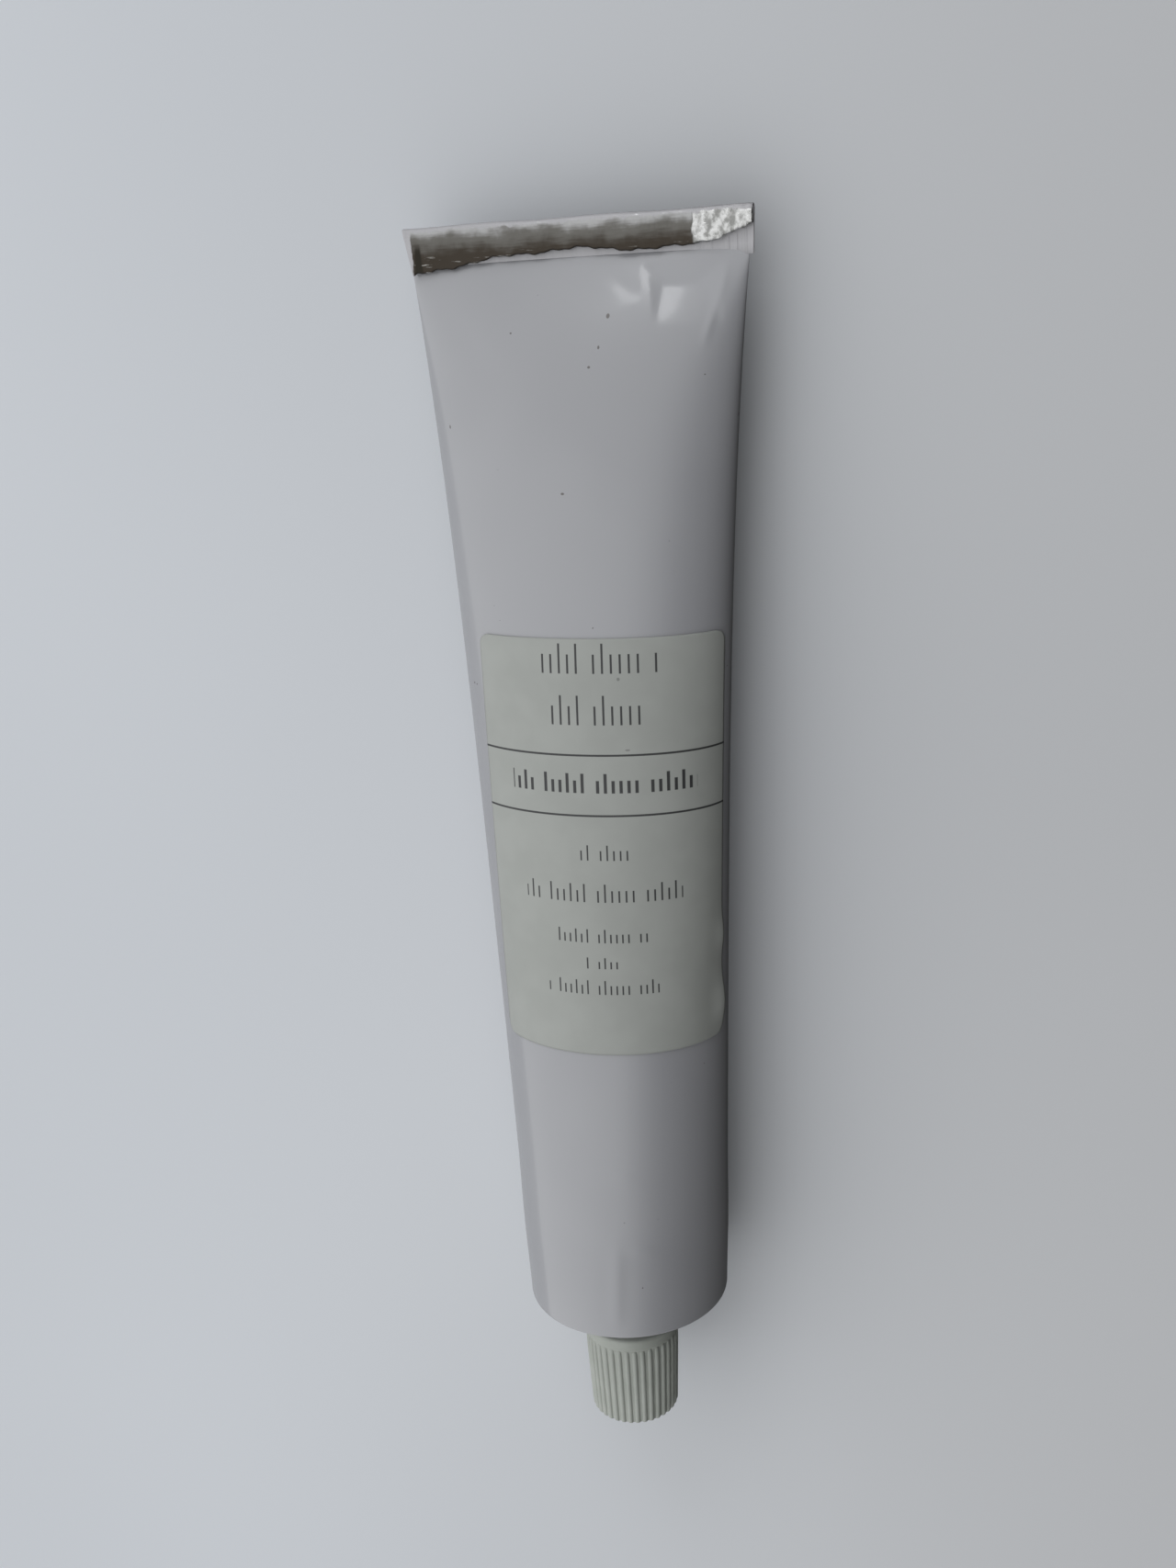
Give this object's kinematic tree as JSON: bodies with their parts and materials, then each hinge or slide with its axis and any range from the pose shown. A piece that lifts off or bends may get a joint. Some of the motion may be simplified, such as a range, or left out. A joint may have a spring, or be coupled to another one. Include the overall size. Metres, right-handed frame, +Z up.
{
  "type": "toothpaste tube",
  "caption": "Collapsible lacquered aluminium tube with a folded end, a blank paper label and a ribbed screw cap, lying on its back.",
  "frame": {"origin": "on the surface that the tube lies on, under the middle of its box", "axes": "+Z up, with the label on top, +Y along the tube to its folded end, X along the fold; the tube's axis dips by 2.4 degrees towards the fold"},
  "size_m": [0.044, 0.1648, 0.028],
  "materials": {
    "lacquered_aluminium": "glossy white lacquer over thin aluminium, bare metal at the fold",
    "cap_plastic": "satin moulded polypropylene",
    "liner_foam": "closed-cell foam disc",
    "paste": "smooth white paste",
    "label_paper": "matt coated paper sticker"
  },
  "bodies": {
    "tube": {"tube_body": "lacquered_aluminium", "toothpaste": "paste", "label": "label_paper"},
    "liner": {"cap_liner": "liner_foam"},
    "cap": {"cap": "cap_plastic"}
  },
  "joints": [
    {"name": "cap_travel", "type": "slide", "parent": "tube", "child": "liner", "axis": [0, -0.9991, 0.0425], "range_m": [0, 0.0075]},
    {"name": "cap_turn", "type": "hinge", "parent": "liner", "child": "cap", "pos_m": [0, -0.0822, 0.01487], "axis": [0, -0.9991, 0.0425], "range_deg": [0, 1800]}
  ],
  "couplings": [
    {"joint": "cap_turn", "follows": "cap_travel", "rad_per_m": 4188.8}
  ]
}
